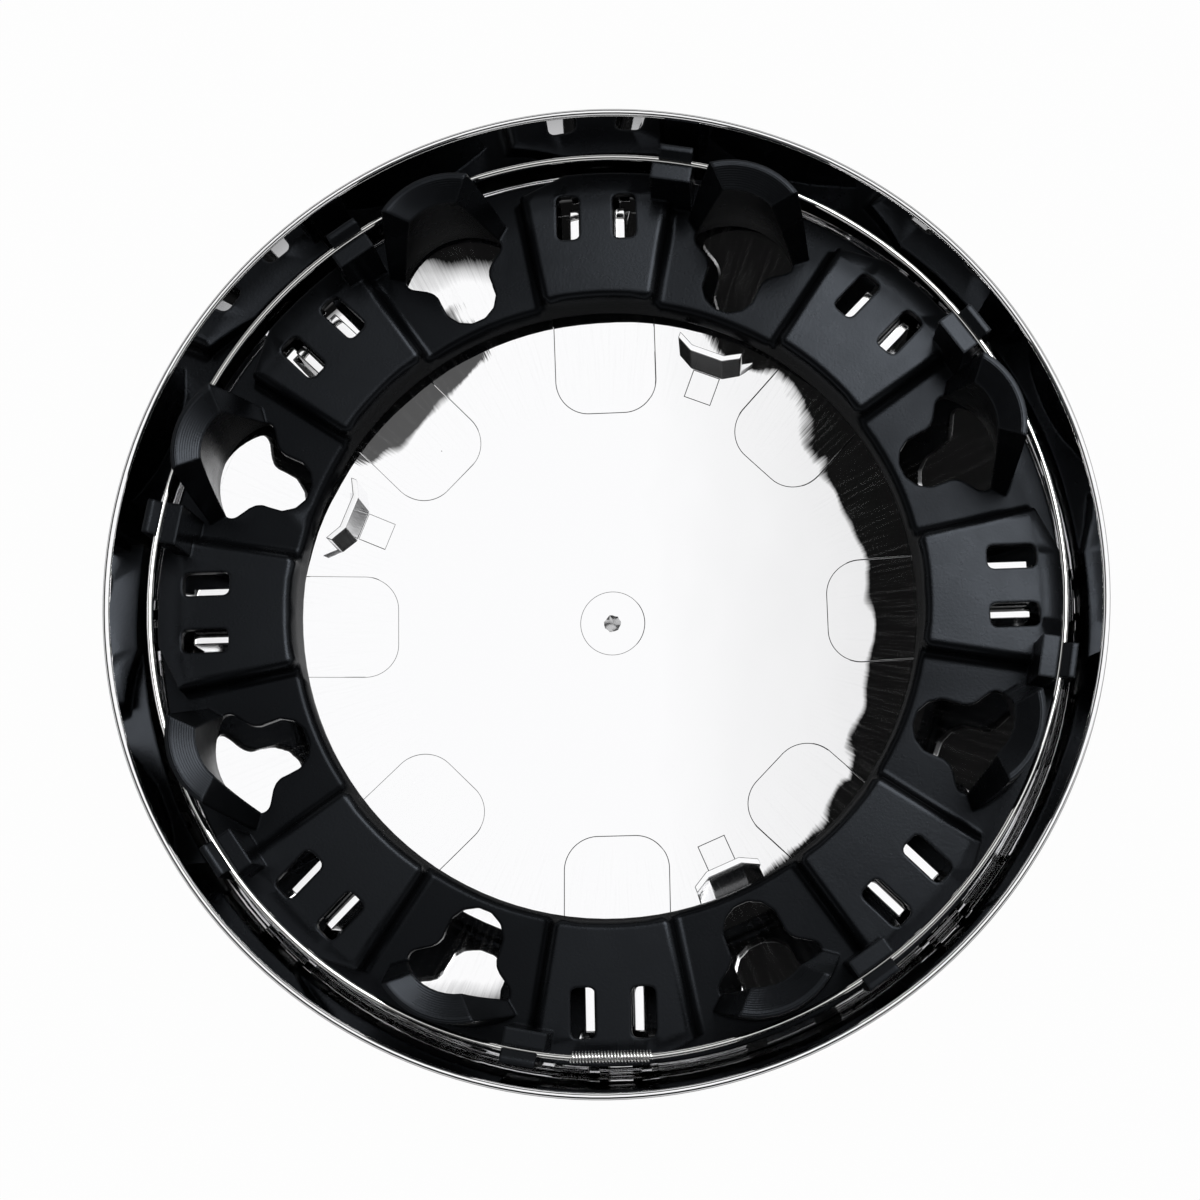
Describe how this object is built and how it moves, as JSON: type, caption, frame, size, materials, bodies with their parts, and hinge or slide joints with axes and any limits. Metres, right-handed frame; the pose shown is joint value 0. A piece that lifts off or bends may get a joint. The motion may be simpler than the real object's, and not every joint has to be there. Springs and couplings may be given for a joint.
{
  "type": "wheel centre cap",
  "caption": "Round chrome wheel centre cap lying on its domed face, with a black lug retainer ring clipped inside and a sprung wire hoop around the ring's collars.",
  "frame": {"origin": "centre of the cap's axis at the lowest point of the domed face", "axes": "+Z along the cap's axis, out of the open back; -Y towards the coil spring"},
  "size_m": [0.229, 0.229, 0.0634],
  "materials": {
    "chrome_plate": "bright chrome plate on moulded plastic",
    "black_plastic": "satin black, as moulded",
    "spring_steel": "bright drawn wire"
  },
  "bodies": {
    "root": {"chrome_cap": "chrome_plate", "retainer_ring": "black_plastic", "wire_ring": "spring_steel", "joining_spring": "spring_steel"}
  },
  "joints": []
}
